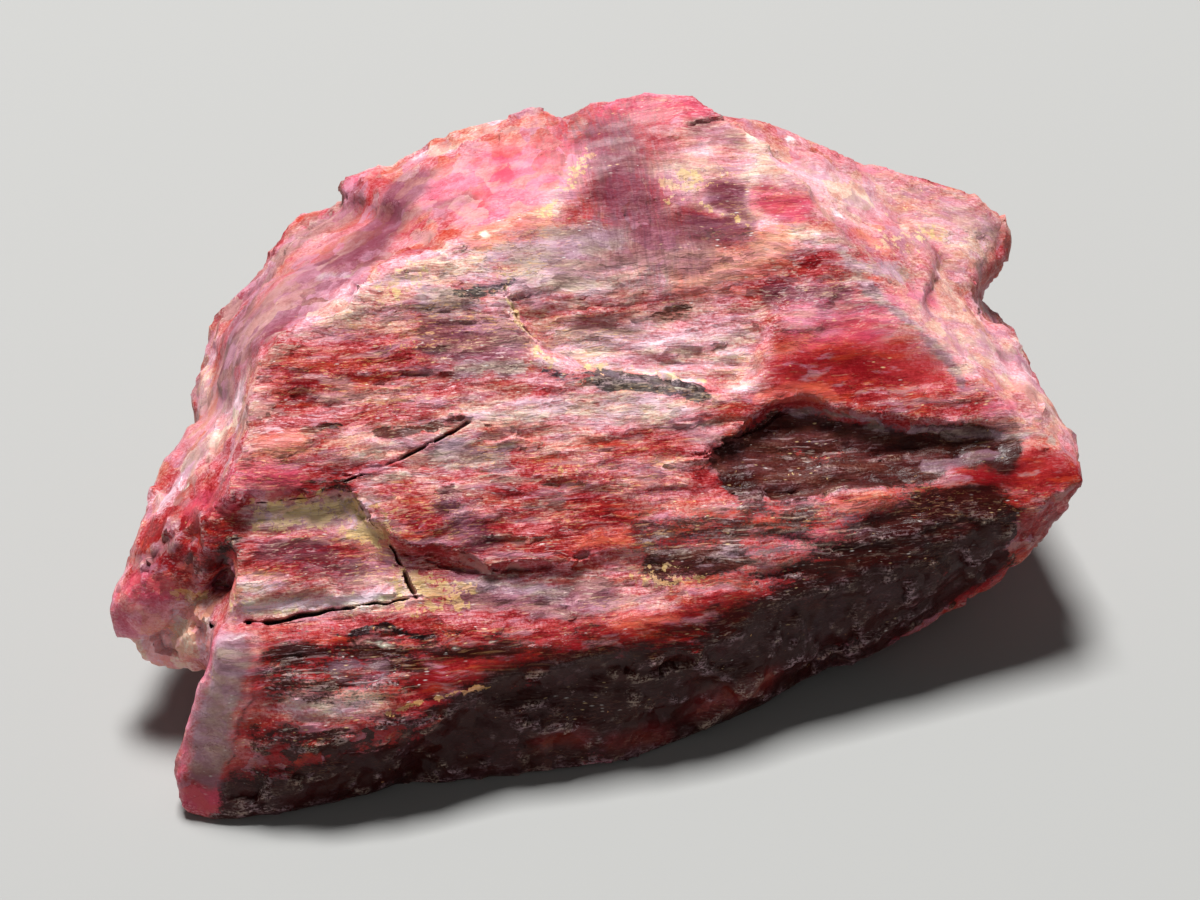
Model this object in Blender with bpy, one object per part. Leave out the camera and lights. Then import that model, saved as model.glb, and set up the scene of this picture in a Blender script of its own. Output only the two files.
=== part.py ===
"""A rough gem rhodonite crystal: one cleavage fragment, 36 mm long, resting on its flat base.

The frame is in metres with +Z up. The origin is the middle of the stone's footprint, on the
surface it rests on. +X runs along the stone, and -Y is the side of the broad fibrous face.

The stone is made the way the mineral breaks. Solid blocks bounded by flat cleavage faces are
grown into one, thin cleavage sheets are stripped from the broad face, and hollows cut into it.
Then the whole surface gets its relief: long splinters along the grain, hackly lumps across it.
All corners and outlines are in millimetres.
"""

import math

import bmesh
import bpy
from mathutils import Vector, noise

# ---------------------------------------------------------------- driving dimensions
LENGTH = 36.0  # the stone's longest side, along X, in mm
MM = 0.001 * LENGTH / 36.0  # metres in one drawing millimetre

NODE_NAME = "rhodonite_crystal"
STONE_COLOR = (0.42, 0.07, 0.09, 1.0)
STONE_ROUGHNESS = 0.45

VOXEL = 0.30  # mesh size at which the blocks are fused
TRIANGLES = 9400  # what the finished solid is thinned to
SLIVER = 0.04  # edges shorter than this are dissolved

SPLINTER_HEIGHT = 0.20  # relief of the broad face
SPLINTER_LENGTH = 6.0  # one splinter, along the grain
SPLINTER_WIDTH = 1.3
LUMP_HEIGHT = 0.60  # relief of the broken ends and the back
LUMP_SIZE = 4.2
CRUMB_HEIGHT = 0.25  # smaller breaks on top of the lumps
CRUMB_SIZE = 1.9
SMOOTH_SHARE = 0.25  # how much relief a smooth crystal face keeps

FLAT_BASE = 1.3  # the relief fades out over this height above the resting face
GROUND_OFF = 0.2  # what the resting face loses when it is made flat
ON_THE_GROUND = 0.01  # points lower than this belong to the resting face

# The broad cleavage face: a point on it, where its normal points, and its own axes.
FACE_POINT = Vector((0.0, -2.9, 10.0))
FACE_AZIMUTH = math.radians(16.0)  # turned from -Y towards +X
FACE_TILT = math.radians(49.0)  # height of the normal above the horizon
FACE_OUT = Vector((
    math.sin(FACE_AZIMUTH) * math.cos(FACE_TILT),
    -math.cos(FACE_AZIMUTH) * math.cos(FACE_TILT),
    math.sin(FACE_TILT),
))
GRAIN = Vector((math.cos(FACE_AZIMUTH), math.sin(FACE_AZIMUTH), 0.0))
FACE_UP = FACE_OUT.cross(GRAIN)
PLATE_DEPTH = 1.2  # how far a plate left on the broad face is sunk into it
STRIP_HEIGHT = 4.0  # how far above the face a ledge is cleared

# ---------------------------------------------------------------- the blocks' corners
HEART = [
    # crest between the broad face and the left end
    (-12.7, -5.8, 10.6), (-11.8, -1.9, 13.7), (-8.8, 0.0, 14.5), (-5.7, 1.4, 15.0),
    # crest between the broad face and the right end
    (8.4, 4.3, 14.0), (13.6, 0.6, 9.7), (18.1, -1.3, 7.1),
    # rim of the broad face, and the steep band under it
    (-5.9, -8.7, 6.2), (-1.4, -8.1, 6.0), (1.8, -7.0, 6.0), (5.0, -5.5, 6.4), (10.6, -2.9, 7.4),
    (0.3, -8.5, 4.7), (-4.2, -9.5, 4.2), (4.4, -6.2, 4.8),
    # left end and top
    (-15.9, 5.0, 6.2), (-15.1, 6.8, 8.1), (-11.8, 9.9, 11.0), (-9.9, 9.8, 11.9),
    (-5.7, 10.3, 13.7), (-1.5, 10.5, 15.2), (1.5, 9.4, 16.2), (3.7, 9.1, 16.4),
    (6.8, 10.2, 15.0), (10.0, 10.3, 13.5),
    # right end
    (17.6, 1.6, 7.0), (17.2, 5.5, 6.5), (16.6, 8.7, 6.5), (16.2, -0.9, 3.5), (14.9, -1.6, 2.0),
    # base
    (-12.0, -9.0, 0.0), (-6.1, -10.1, 0.0), (-3.6, -9.7, 0.0), (0.7, -9.0, 0.0),
    (4.6, -6.8, 0.0), (6.0, -5.4, 0.0), (11.0, 3.0, 0.0), (8.0, 8.0, 0.0),
    (-4.0, 9.0, 0.0), (-12.0, 4.0, 0.0),
    # back
    (-12.0, 10.5, 7.0), (2.0, 12.5, 8.0), (12.0, 11.0, 6.0),
]

CROWN = [
    (-4.6, 1.9, 15.1), (8.9, 4.6, 13.9), (-3.6, 4.4, 15.4), (-0.6, 7.4, 16.4),
    (-0.6, 9.5, 16.8), (1.6, 9.5, 17.1), (3.7, 9.3, 17.1), (4.0, 8.6, 17.0), (7.4, 6.9, 15.4),
    (-4.6, 2.6, 11.0), (7.0, 4.0, 10.0), (3.7, 9.5, 12.0), (0.5, 9.5, 12.0),
]

CORAL_SHELF = [
    (-10.4, 9.8, 12.5), (-9.7, 9.8, 13.2), (-6.2, 10.0, 14.8), (-2.2, 10.1, 16.3),
    (-0.4, 8.6, 16.5), (-2.6, 3.6, 15.6), (-4.6, 2.4, 15.3), (-7.3, 5.6, 14.6),
    (-8.5, 9.0, 10.0), (-3.0, 9.5, 11.0), (-3.5, 3.0, 11.0),
]

PRISM = [
    (-11.8, -9.3, 7.0), (-13.3, -9.5, 6.9), (-13.4, -11.0, 3.0), (-15.1, -11.1, 1.8),
    (-14.6, -11.6, 0.2), (-13.6, -11.8, 0.0), (-11.9, -11.6, 0.0), (-12.6, -11.1, 3.2),
    (-10.5, -11.2, 3.3), (-7.6, -11.0, 3.8), (-4.2, -9.6, 4.3), (-5.9, -8.9, 6.0),
    (-10.9, -10.7, 0.0), (-8.0, -10.4, 0.0), (-2.0, -7.0, 2.0),
    (-14.2, -7.5, 0.0), (-13.2, -6.5, 5.6), (-9.0, -5.0, 0.0), (-8.0, -6.0, 6.2),
]

LEFT_LOBE = [
    (-12.7, -2.6, 11.0), (-15.3, 1.3, 7.8), (-16.2, -2.1, 7.2), (-17.1, -4.7, 6.2),
    (-17.7, -6.1, 4.9), (-17.5, -6.3, 3.8), (-16.4, -6.5, 3.7), (-15.7, -6.0, 5.2),
    (-14.3, -5.4, 7.4), (-12.9, -5.9, 9.9), (-12.9, -6.6, 8.4), (-15.0, -2.0, 3.6),
    (-12.0, -1.0, 6.0), (-15.6, 1.0, 5.0),
]

LOWER_LOBE = [
    (-16.8, -6.3, 3.3), (-16.4, -6.4, 2.6), (-14.3, -6.9, 2.9), (-12.9, -8.2, 5.4),
    (-13.0, -6.8, 6.6), (-15.0, -5.6, 5.0), (-15.8, -4.8, 4.5), (-12.0, -4.0, 1.8),
    (-12.0, -5.0, 5.5),
]

RIGHT_LOBE = [
    (10.3, 10.4, 13.4), (12.8, 10.9, 12.3), (15.0, 10.9, 11.3), (15.9, 10.8, 10.5),
    (16.4, 10.4, 9.6), (16.2, 9.8, 8.8), (15.9, 10.0, 8.0), (10.6, 4.8, 11.6),
    (13.0, 4.4, 10.3), (11.0, 9.0, 7.0), (14.5, 11.5, 8.0), (9.5, 12.0, 9.0),
]

RIGHT_SHOULDER = [
    (8.9, 4.9, 14.0), (10.4, 3.6, 12.9), (12.4, 3.2, 11.1), (11.2, 8.0, 12.6),
    (8.4, 8.8, 14.6), (6.6, 7.2, 15.2), (8.0, 4.0, 10.0), (11.0, 8.0, 9.0),
]

CHIP = [
    (-12.4, -5.7, 9.7), (-8.7, -4.8, 9.5), (-8.0, -5.2, 9.0), (-7.3, -6.1, 8.1),
    (-6.8, -7.0, 7.3), (-12.6, -8.0, 7.9), (-12.7, -7.1, 8.6), (-13.0, -8.3, 6.7),
    (-12.0, -8.4, 6.6), (-9.2, -7.7, 6.5), (-6.5, -7.0, 6.4), (-11.6, -3.0, 6.0),
    (-8.0, -3.0, 6.0), (-12.6, -6.0, 5.4),
]

STRIP = [
    (-14.7, -6.4, 5.0), (-14.1, -6.8, 4.6), (-13.1, -8.2, 6.2), (-12.6, -7.2, 7.2),
    (-15.3, -4.8, 4.6), (-12.0, -5.0, 3.0), (-12.0, -7.0, 5.0),
]

RED_END = [
    (0.6, -7.7, 6.0), (2.1, -7.2, 6.1), (5.1, -6.0, 6.5), (5.7, -6.2, 5.7), (5.6, -6.9, 4.9),
    (4.2, -7.6, 4.5), (1.3, -8.5, 4.5), (1.0, -5.0, 5.0), (5.0, -4.0, 6.4), (4.5, -4.5, 4.8),
]

RIGHT_FOOT = [
    (14.6, 0.0, 9.2), (16.9, 0.0, 7.8), (17.2, 1.8, 7.4), (16.8, 4.6, 7.8), (15.6, 6.4, 9.0),
    (14.2, 3.0, 9.8), (15.0, 1.0, 4.0), (16.2, 5.0, 4.4), (13.0, 4.0, 6.0),
]

BACK_SLAB = [
    (-12.6, 8.4, 9.6), (-6.0, 10.8, 12.2), (0.0, 12.2, 13.0), (2.6, 12.6, 12.0),
    (2.9, 13.2, 7.0), (1.6, 11.6, 3.4), (-5.0, 10.2, 2.6), (-12.6, 9.4, 4.6),
    (-6.0, 6.0, 8.0), (0.0, 7.0, 8.0),
]

BLOCKS = {
    "crown": CROWN,
    "coral_shelf": CORAL_SHELF,
    "prism": PRISM,
    "left_lobe": LEFT_LOBE,
    "lower_lobe": LOWER_LOBE,
    "strip": STRIP,
    "red_end": RED_END,
    "right_lobe": RIGHT_LOBE,
    "right_shoulder": RIGHT_SHOULDER,
    "right_foot": RIGHT_FOOT,
    "back_slab": BACK_SLAB,
}

# Smooth crystal faces, which keep little of the relief: (a point in the face, its radius).
SMOOTH_FACES = [
    ((-13.4, -10.4, 4.6), 2.6), ((-14.2, -11.2, 2.0), 2.4),
    ((-10.0, -6.8, 8.4), 3.4), ((-9.6, 6.0, 13.0), 3.0), ((-4.0, 7.0, 15.4), 3.6),
    ((1.6, 6.0, 16.0), 3.2),
]

# ------------------------------------------------- outlines on the broad face, and depths
# Each corner is (along the grain, up the face, height above the face).
LOW_BAND = [
    (-16.0, 0.8, -0.75), (-13.3, 0.6, -0.75), (-11.1, 0.4, -0.8), (-9.2, 0.3, -0.85),
    (-8.7, -0.6, -0.8), (-8.3, -1.4, -0.7), (-7.5, -2.5, -0.65), (-6.4, -2.7, -0.6),
    (-5.4, -3.2, -0.6), (-4.4, -3.4, -0.6), (-3.3, -3.5, -0.6), (-2.3, -3.8, -0.55),
    (-0.8, -3.7, -0.45), (1.0, -4.0, -0.2), (2.0, -5.2, 0.0), (1.0, -8.0, 0.2),
    (-4.0, -9.0, -0.3), (-16.0, -9.0, -0.75),
]
DARK_LENS = [
    (2.4, -2.0, 0.05), (4.8, -0.5, -0.5), (6.2, 0.25, -0.9), (7.8, 0.4, -0.95),
    (9.6, -0.6, -0.9), (12.4, -1.4, -0.8), (15.6, -2.2, -0.5), (17.4, -2.8, 0.05),
    (14.5, -3.2, 0.0), (9.8, -3.4, -0.1), (6.4, -3.0, -0.1),
]
GREY_SHEET = [
    (0.6, -3.4, 0.15), (2.4, -2.7, 0.3), (5.4, -2.8, 0.35), (8.8, -2.9, 0.35), (10.0, -3.2, 0.4),
    (10.3, -3.8, 0.35), (9.1, -4.4, 0.3), (7.0, -5.0, 0.3), (4.8, -5.2, 0.3), (2.6, -5.2, 0.2),
]
UPPER_LEDGE = [
    (-3.4, 7.2, 0.1), (-1.9, 5.1, -0.35), (-1.2, 3.7, -0.5), (1.3, 2.6, -0.55),
    (5.3, 1.3, -0.45), (6.6, 1.9, -0.3), (8.0, 4.6, -0.3), (9.4, 6.4, 0.1),
]
LEDGES = {
    "low_band": LOW_BAND,
    "dark_lens": DARK_LENS,
    "upper_ledge": UPPER_LEDGE,
}


def face_point(along, up, out):
    """A point given on the broad face's own axes, in millimetres."""
    return FACE_POINT + GRAIN * along + FACE_UP * up + FACE_OUT * out


def link(name, shape):
    """Turns a bmesh in millimetres into an object."""
    bmesh.ops.recalc_face_normals(shape, faces=shape.faces)
    bmesh.ops.scale(shape, vec=(MM, MM, MM), verts=shape.verts)
    mesh = bpy.data.meshes.new(name)
    shape.to_mesh(mesh)
    shape.free()
    solid = bpy.data.objects.new(name, mesh)
    bpy.context.scene.collection.objects.link(solid)
    return solid


def block(name, corners):
    """A convex solid: the hull of its corners."""
    shape = bmesh.new()
    for corner in corners:
        shape.verts.new(corner)
    made = bmesh.ops.convex_hull(shape, input=shape.verts)
    inside = [vert for vert in made["geom_interior"] if isinstance(vert, bmesh.types.BMVert)]
    bmesh.ops.delete(shape, geom=inside, context="VERTS")
    return link(name, shape)


def plate(name, outline):
    """A sheet that still clings to the broad face: a convex plate, sunk into the stone."""
    top = [face_point(*corner) for corner in outline]
    foot = [face_point(along, up, -PLATE_DEPTH) for along, up, _ in outline]
    return block(name, top + foot)


def missing_sheet(name, outline):
    """What is gone above a ledge of the broad face: a column over its sloping floor."""
    shape = bmesh.new()
    floor = [shape.verts.new(face_point(*corner)) for corner in outline]
    roof = [shape.verts.new(face_point(along, up, STRIP_HEIGHT)) for along, up, _ in outline]
    shape.faces.new(floor)
    shape.faces.new(roof)
    for index in range(len(outline)):
        after = (index + 1) % len(outline)
        shape.faces.new((floor[index], floor[after], roof[after], roof[index]))
    bmesh.ops.triangulate(shape, faces=shape.faces)
    return link(name, shape)


def boolean(solid, other, operation):
    """Joins other to solid, or cuts it away."""
    step = solid.modifiers.new(other.name, "BOOLEAN")
    step.operation = operation
    step.object = other
    other.hide_render = True
    other.display_type = "WIRE"


def apply_modifiers(solid):
    """Gives the object the mesh that its modifiers make, and clears them."""
    depsgraph = bpy.context.evaluated_depsgraph_get()
    made = bpy.data.meshes.new_from_object(solid.evaluated_get(depsgraph))
    solid.modifiers.clear()
    before = solid.data
    solid.data = made
    bpy.data.meshes.remove(before)


def smoothstep(low, high, value):
    """0 below low, 1 above high, and an even ramp between."""
    part = min(1.0, max(0.0, (value - low) / (high - low)))
    return part * part * (3.0 - 2.0 * part)


def nearest_seed(spot):
    """The middle of the cell that a point falls in, in a pattern of uneven cells."""
    return noise.voronoi(spot)[1][0]


def splinters(point):
    """Height of the long flat splinters that lie along the grain, from about -1 to 1."""
    local = point - FACE_POINT
    along = local.dot(GRAIN) / SPLINTER_LENGTH
    across = local.dot(FACE_UP) / SPLINTER_WIDTH
    seed = nearest_seed(Vector((along, across, 0.3)))
    return noise.noise(seed * 9.1)


def hackly(point, size):
    """Height of a rough break: every grain is a small plane that leans its own way."""
    spot = point / size
    seed = nearest_seed(spot)
    lean = noise.noise_vector(seed * 5.1)
    return (spot - seed).dot(lean) + 0.5 * noise.noise(seed * 3.7)


def relief(point, normal):
    """How far the surface moves out at a point, in millimetres."""
    broad = smoothstep(0.80, 0.95, normal.dot(FACE_OUT))
    fibrous = SPLINTER_HEIGHT * splinters(point)
    broken = LUMP_HEIGHT * hackly(point, LUMP_SIZE) + CRUMB_HEIGHT * hackly(point, CRUMB_SIZE)
    keep = smoothstep(0.0, FLAT_BASE, point.z)
    for middle, radius in SMOOTH_FACES:
        away = (point - Vector(middle)).length
        keep *= SMOOTH_SHARE + (1.0 - SMOOTH_SHARE) * smoothstep(0.7 * radius, radius, away)
    return (broad * fibrous + (1.0 - broad) * broken) * keep


def grow():
    """The blocks grown into one, with the ledges stripped and the last plates left on."""
    solid = block(NODE_NAME, HEART)
    for name, corners in BLOCKS.items():
        boolean(solid, block(name, corners), "UNION")
    for name, outline in LEDGES.items():
        boolean(solid, missing_sheet(name, outline), "DIFFERENCE")
    boolean(solid, block("chip", CHIP), "UNION")
    boolean(solid, plate("grey_sheet", GREY_SHEET), "UNION")
    fuse = solid.modifiers.new("fuse", "REMESH")
    fuse.mode = "VOXEL"
    fuse.voxel_size = VOXEL * MM
    apply_modifiers(solid)
    for tool in list(bpy.data.objects):
        if tool is not solid:
            bpy.data.objects.remove(tool)
    return solid


def break_surface(solid):
    """Moves every point of the skin out or in by the relief."""
    moves = []
    for vertex in solid.data.vertices:
        moves.append(vertex.normal * relief(vertex.co / MM, vertex.normal) * MM)
    for vertex, move in zip(solid.data.vertices, moves):
        vertex.co += move


def thin(solid):
    """Thins the mesh: large triangles on the flats, small ones along the ledges."""
    step = solid.modifiers.new("thin", "DECIMATE")
    step.ratio = TRIANGLES / (2.0 * len(solid.data.polygons))
    step.use_collapse_triangulate = True
    apply_modifiers(solid)


def grind_base(shape):
    """Cuts the resting face flat and closes it."""
    bmesh.ops.bisect_plane(
        shape,
        geom=shape.verts[:] + shape.edges[:] + shape.faces[:],
        plane_co=(0.0, 0.0, GROUND_OFF * MM),
        plane_no=(0.0, 0.0, 1.0),
        dist=ON_THE_GROUND * MM,
        clear_inner=True,
    )
    rim = [edge for edge in shape.edges if edge.is_boundary]
    bmesh.ops.holes_fill(shape, edges=rim, sides=0)


def place(shape):
    """Brings the length back after the relief, and centres the footprint on the origin."""
    low = [min(vertex.co[axis] for vertex in shape.verts) for axis in range(3)]
    high = [max(vertex.co[axis] for vertex in shape.verts) for axis in range(3)]
    middle = Vector(((low[0] + high[0]) / 2.0, (low[1] + high[1]) / 2.0, low[2]))
    scale = LENGTH * 0.001 / (high[0] - low[0])
    for vertex in shape.verts:
        vertex.co = (vertex.co - middle) * scale
        if vertex.co.z < ON_THE_GROUND * MM:
            vertex.co.z = 0.0


def finish(solid):
    """Grinds, places and cleans the thinned mesh, and names it."""
    shape = bmesh.new()
    shape.from_mesh(solid.data)
    grind_base(shape)
    bmesh.ops.dissolve_degenerate(shape, dist=SLIVER * MM, edges=shape.edges)
    bmesh.ops.triangulate(shape, faces=shape.faces)
    bmesh.ops.recalc_face_normals(shape, faces=shape.faces)
    place(shape)
    shape.to_mesh(solid.data)
    shape.free()
    solid.data.name = NODE_NAME


def paint(solid):
    """One plain material for the stone."""
    material = bpy.data.materials.new("rhodonite")
    material.use_nodes = True
    material.diffuse_color = STONE_COLOR
    shader = material.node_tree.nodes["Principled BSDF"]
    shader.inputs["Base Color"].default_value = STONE_COLOR
    shader.inputs["Roughness"].default_value = STONE_ROUGHNESS
    solid.data.materials.clear()
    solid.data.materials.append(material)


for old in list(bpy.data.objects):
    bpy.data.objects.remove(old)

stone = grow()
break_surface(stone)
thin(stone)
finish(stone)
paint(stone)
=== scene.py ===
# %% [markdown]
# # A rough rhodonite crystal
#
# The object is one piece of stone: a cleavage fragment of gem rhodonite, 36 mm long. A crystal
# like this isn't carved, it is broken. So it is made the way it broke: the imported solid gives
# the big flat faces and ledges, and here the whole skin is remeshed finely enough to carry
# splinters, crumbs and cracks, then painted with the mineral's own stains.

# %% Load the frame
import math

import bpy
import numpy as np
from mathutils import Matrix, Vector


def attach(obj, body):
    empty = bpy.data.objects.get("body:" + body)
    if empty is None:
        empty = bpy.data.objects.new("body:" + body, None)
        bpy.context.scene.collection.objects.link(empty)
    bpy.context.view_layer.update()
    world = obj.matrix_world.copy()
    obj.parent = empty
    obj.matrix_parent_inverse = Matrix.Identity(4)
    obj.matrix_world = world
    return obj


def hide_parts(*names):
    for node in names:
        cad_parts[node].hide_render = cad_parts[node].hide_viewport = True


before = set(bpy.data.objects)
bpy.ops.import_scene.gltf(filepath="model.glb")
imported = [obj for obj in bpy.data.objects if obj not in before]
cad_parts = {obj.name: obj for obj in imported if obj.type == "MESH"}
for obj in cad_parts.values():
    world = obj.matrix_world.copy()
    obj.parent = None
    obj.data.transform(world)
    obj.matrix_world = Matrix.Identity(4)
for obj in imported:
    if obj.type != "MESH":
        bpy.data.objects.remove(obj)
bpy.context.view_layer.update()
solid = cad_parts["rhodonite_crystal"]

MM = 0.001

# %% [markdown]
# The camera comes first, because the stains are placed by where it sees them. It looks down
# at 40 degrees onto the broad fibrous face, through a long lens, from about 10 cm away.

# %% Camera
FRAME_WIDE = 1200
FRAME_HIGH = 900
CAMERA_HEIGHT = math.radians(40.0)  # above the horizon
CAMERA_AWAY = 105.25 * MM
LOOK_AT = Vector((-0.06, -1.15, 7.90)) * MM
LENS = 85.0
SENSOR = 36.0

to_camera = Vector((0.0, -math.cos(CAMERA_HEIGHT), math.sin(CAMERA_HEIGHT)))
camera_place = LOOK_AT + to_camera * CAMERA_AWAY
camera_data = bpy.data.cameras.new("camera")
camera_data.lens = LENS
camera_data.sensor_width = SENSOR
camera_data.clip_start = 0.005
camera_data.clip_end = 20.0
camera = bpy.data.objects.new("camera", camera_data)
camera.location = camera_place
camera.rotation_euler = (math.pi / 2.0 - CAMERA_HEIGHT, 0.0, 0.0)
bpy.context.scene.collection.objects.link(camera)
bpy.context.scene.camera = camera
print("camera", round(CAMERA_AWAY / MM), "mm away, lens", LENS, "mm")


def sight(across, down):
    """The direction in which the camera sees a point of its 1200 x 900 frame."""
    reach = LENS / SENSOR * FRAME_WIDE
    right = Vector((1.0, 0.0, 0.0))
    up = to_camera.cross(right)
    ray = right * (across - FRAME_WIDE / 2.0) + up * (FRAME_HIGH / 2.0 - down) - to_camera * reach
    return ray.normalized()


# %% [markdown]
# Rhodonite splits into long fibres, and every streak and ledge on this stone follows them.
# Three directions describe that: along the grain, up the broad face, and out of it.

# %% The grain
FACE_POINT = np.array((-0.06, -3.58, 9.93))  # a point of the broad face, in mm
FACE_TURN = math.radians(16.0)
FACE_TILT = math.radians(49.0)
OUT = np.array((
    math.sin(FACE_TURN) * math.cos(FACE_TILT),
    -math.cos(FACE_TURN) * math.cos(FACE_TILT),
    math.sin(FACE_TILT),
))
LEVEL = np.array((math.cos(FACE_TURN), math.sin(FACE_TURN), 0.0))
GRAIN_DIP = math.radians(7.0)  # the fibres sink this much towards the right end
ALONG = math.cos(GRAIN_DIP) * LEVEL - math.sin(GRAIN_DIP) * np.cross(OUT, LEVEL)
UP = np.cross(OUT, ALONG)
print("grain along", ALONG.round(2), "and the broad face looks to", OUT.round(2))


def grain_axes(points):
    """Turns points in mm into (along the grain, up the face, out of the face)."""
    away = points - FACE_POINT
    return np.stack([away @ ALONG, away @ UP, away @ OUT], axis=1)


# %% [markdown]
# The skin has to be fine enough for chips a fraction of a millimetre wide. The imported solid
# could be subdivided, but its long thin triangles would stay long and thin. Remeshing by
# voxels gives even little squares everywhere instead, so relief looks alike on every side.

# %% One fine skin
SKIN_STEP = 0.19 * MM
HOLLOW_FLOOR = (-13.4, -5.2, 5.7)


def only(piece):
    """Selects one piece alone, and makes it the active one."""
    bpy.ops.object.select_all(action="DESELECT")
    piece.select_set(True)
    bpy.context.view_layer.objects.active = piece


stone = solid.copy()
stone.data = solid.data.copy()
stone.name = "crystal"
stone.data.name = "crystal"
bpy.context.scene.collection.objects.link(stone)
only(stone)
bpy.ops.object.mode_set(mode="EDIT")
bpy.ops.mesh.select_all(action="SELECT")
bpy.ops.mesh.remove_doubles(threshold=0.001 * MM)
bpy.ops.object.mode_set(mode="OBJECT")

# The gap behind the left knob is only a deep hollow: a lump of stone closes its floor.
bpy.ops.mesh.primitive_ico_sphere_add(subdivisions=3, radius=1.3 * MM, location=Vector(HOLLOW_FLOOR) * MM)
lump = bpy.context.object
only(stone)
lump.select_set(True)
bpy.ops.object.join()

bpy.ops.object.modifier_add(type="REMESH")
skin = stone.modifiers[-1]
skin.mode = "VOXEL"
skin.voxel_size = SKIN_STEP
bpy.ops.object.modifier_apply(modifier=skin.name)

bpy.ops.object.modifier_add(type="SMOOTH")
soften = stone.modifiers[-1]
soften.factor = 0.5
soften.iterations = 2
bpy.ops.object.modifier_apply(modifier=soften.name)
print("skin of", len(stone.data.polygons), "squares")

# %% [markdown]
# Two kinds of pattern shape all the relief: soft noise, and cells. Cells are what a break
# looks like: space is parted into uneven blocks, and every block takes its own height and
# lean. Both are worked out for all points at once.


# %% Noise and cells
def scatter(lattice, salt):
    """Three even random numbers from 0 to 1 for each whole-number point."""
    whole = lattice.astype(np.int64)
    mixed = whole[:, 0] * 73856093 ^ whole[:, 1] * 19349663 ^ whole[:, 2] * 83492791 ^ salt * 2654435761
    numbers = []
    for turn in range(3):
        mixed = (mixed ^ (mixed >> 15)) * 668265263 + 374761393 + turn
        mixed = (mixed ^ (mixed >> 13)) & 0x7FFFFFFF
        numbers.append((mixed % 65521) / 65521.0)
    return np.stack(numbers, axis=1)


def soft_noise(points, salt=1):
    """Three smooth fields from -1 to 1, with lumps about one unit wide."""
    floor = np.floor(points)
    part = points - floor
    blend = part * part * (3.0 - 2.0 * part)
    total = np.zeros(points.shape)
    for corner in np.ndindex(2, 2, 2):
        side = np.array(corner)
        weight = np.prod(np.where(side, blend, 1.0 - blend), axis=1)
        total += weight[:, None] * scatter(floor + side, salt)
    return 2.0 * total - 1.0


def cells(points, salt=1):
    """For each point: its cell's random numbers, its place in the cell, and how near the cell's edge is."""
    floor = np.floor(points)
    nearest = np.full(len(points), 9.0)
    second = np.full(len(points), 9.0)
    chance = np.zeros(points.shape)
    inside = np.zeros(points.shape)
    for step in np.ndindex(3, 3, 3):
        corner = floor + np.array(step) - 1.0
        random = scatter(corner, salt)
        offset = points - corner - random
        far = np.linalg.norm(offset, axis=1)
        closer = far < nearest
        second = np.where(closer, nearest, np.minimum(second, far))
        nearest = np.where(closer, far, nearest)
        chance[closer] = random[closer]
        inside[closer] = offset[closer]
    own = scatter(np.round(chance * 65521.0), salt + 7)
    return own, inside, second - nearest


def ramp(start, end, value):
    """0 at start, 1 at end, and an even curve between."""
    part = np.clip((value - start) / (end - start), 0.0, 1.0)
    return part * part * (3.0 - 2.0 * part)


print("noise at the middle of the face", soft_noise(grain_axes(FACE_POINT[None] + 0.5))[0].round(2))

# %% [markdown]
# Cracks and stains are strokes: each is a path over the stone, as a crack or a stain runs. Its
# corners are named by where the camera sees them in its 1200 x 900 frame, and a sight line
# drops each one onto the skin. Its half-width is a real size in mm. Since the distance to the
# path is measured through space, a stroke lies on the stone from whichever side it is seen.

# %% Strokes
def read_points(mesh):
    """All the points of a mesh in mm, and their normals."""
    places = np.empty(len(mesh.vertices) * 3)
    normals = np.empty(len(mesh.vertices) * 3)
    mesh.vertices.foreach_get("co", places)
    mesh.vertices.foreach_get("normal", normals)
    return places.reshape(-1, 3) / MM, normals.reshape(-1, 3)


def write_points(mesh, points):
    """Puts the points, in mm, back into the mesh."""
    mesh.vertices.foreach_set("co", (points * MM).ravel())
    mesh.update()


def on_stone(across, down):
    """The point of the stone, in mm, that the camera sees there; None past the outline."""
    hit, place, _, _ = stone.ray_cast(camera_place, sight(across, down))
    return np.array(place) / MM if hit else None


def along_path(points, path):
    """How far each point is from a path, in mm, and how far along the path, from 0 to 1."""
    corners = [corner for corner in (on_stone(*spot) for spot in path) if corner is not None]
    if len(corners) < len(path):
        print("off the stone:", path)
    nearest = np.full(len(points), 99.0)
    run = np.zeros(len(points))
    for number, (start, end) in enumerate(zip(corners, corners[1:])):
        step = end - start
        share = np.clip((points - start) @ step / max(step @ step, 1e-9), 0.0, 1.0)
        away = np.linalg.norm(points - start - share[:, None] * step, axis=1)
        run = np.where(away < nearest, (number + share) / (len(corners) - 1), run)
        nearest = np.minimum(nearest, away)
    return nearest, run


print("the camera looks at", on_stone(FRAME_WIDE / 2.0, FRAME_HIGH / 2.0).round(1), "mm")

# %% [markdown]
# Two ledges under the crown are worn nearly flat. A Smooth modifier wears them, and a vertex
# group keeps it to them.

# %% Worn ledges
WORN = (((568, 276), (604, 262), (640, 250)), ((690, 288), (740, 274), (800, 262), (855, 248)))
points, _ = read_points(stone.data)
worn = stone.vertex_groups.new(name="worn")
for path in WORN:
    share = 1.0 - ramp(0.5, 1.6, along_path(points, path)[0])
    for number in np.flatnonzero(share > 0.01):
        worn.add([int(number)], float(share[number]), "ADD")
only(stone)
bpy.ops.object.modifier_add(type="SMOOTH")
wear = stone.modifiers[-1]
wear.vertex_group = worn.name
wear.factor = 0.7
wear.iterations = 60
bpy.ops.object.modifier_apply(modifier=wear.name)
stone.vertex_groups.clear()
print("wore", len(WORN), "ledges")

# %% [markdown]
# The cracks open where a slab has lifted or a chip is about to fall. They are narrower than
# the squares of the skin, so the skin is split around them first, and only there.

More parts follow.
